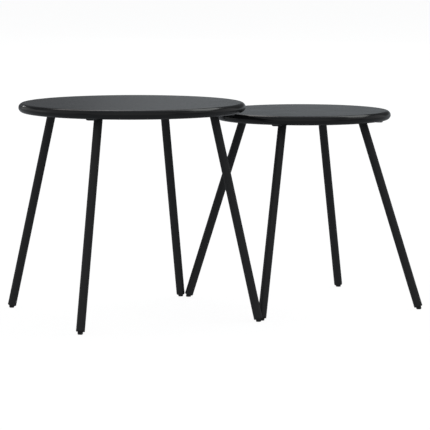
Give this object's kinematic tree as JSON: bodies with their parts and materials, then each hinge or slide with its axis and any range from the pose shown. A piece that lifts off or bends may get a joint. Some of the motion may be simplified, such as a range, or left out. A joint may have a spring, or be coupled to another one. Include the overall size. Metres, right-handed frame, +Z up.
{
  "type": "nesting tables",
  "caption": "Round steel nesting tables with rolled rims and splayed tube legs; the lower one slides in under the edge of the taller one.",
  "frame": {"origin": "on the floor, under the middle of the whole set's box with the small table pushed in", "axes": "+X from the large table's centre towards the small table's, +Z up, +Y across, so that the set is mirrored about the XZ plane apart from which under-top rail is the long one"},
  "size_m": [0.8742, 0.4998, 0.472],
  "materials": {
    "top_paint": "satin black paint on pressed steel sheet",
    "frame_powder_coat": "matt black powder coat with a fine grain",
    "foot_plastic": "moulded black plastic",
    "dark_steel": "black oxide"
  },
  "bodies": {
    "large_table": {"large_foot_back_left": "foot_plastic", "large_foot_back_right": "foot_plastic", "large_foot_front_left": "foot_plastic", "large_foot_front_right": "foot_plastic", "large_half_rail_back_left": "frame_powder_coat", "large_half_rail_front_right": "frame_powder_coat", "large_leg_back_left": "frame_powder_coat", "large_leg_back_right": "frame_powder_coat", "large_leg_front_left": "frame_powder_coat", "large_leg_front_right": "frame_powder_coat", "large_long_rail": "frame_powder_coat", "large_set_screws": "dark_steel", "large_spigot_back_left": "dark_steel", "large_spigot_back_right": "dark_steel", "large_spigot_front_left": "dark_steel", "large_spigot_front_right": "dark_steel", "large_top": "top_paint"},
    "small_table": {"small_foot_back_left": "foot_plastic", "small_foot_back_right": "foot_plastic", "small_foot_front_left": "foot_plastic", "small_foot_front_right": "foot_plastic", "small_half_rail_back_left": "frame_powder_coat", "small_half_rail_front_right": "frame_powder_coat", "small_leg_back_left": "frame_powder_coat", "small_leg_back_right": "frame_powder_coat", "small_leg_front_left": "frame_powder_coat", "small_leg_front_right": "frame_powder_coat", "small_long_rail": "frame_powder_coat", "small_set_screws": "dark_steel", "small_spigot_back_left": "dark_steel", "small_spigot_back_right": "dark_steel", "small_spigot_front_left": "dark_steel", "small_spigot_front_right": "dark_steel", "small_top": "top_paint"}
  },
  "joints": [
    {"name": "small_table_slide", "type": "slide", "parent": "large_table", "child": "small_table", "axis": [1, 0, 0], "range_m": [0, 0.3]}
  ]
}
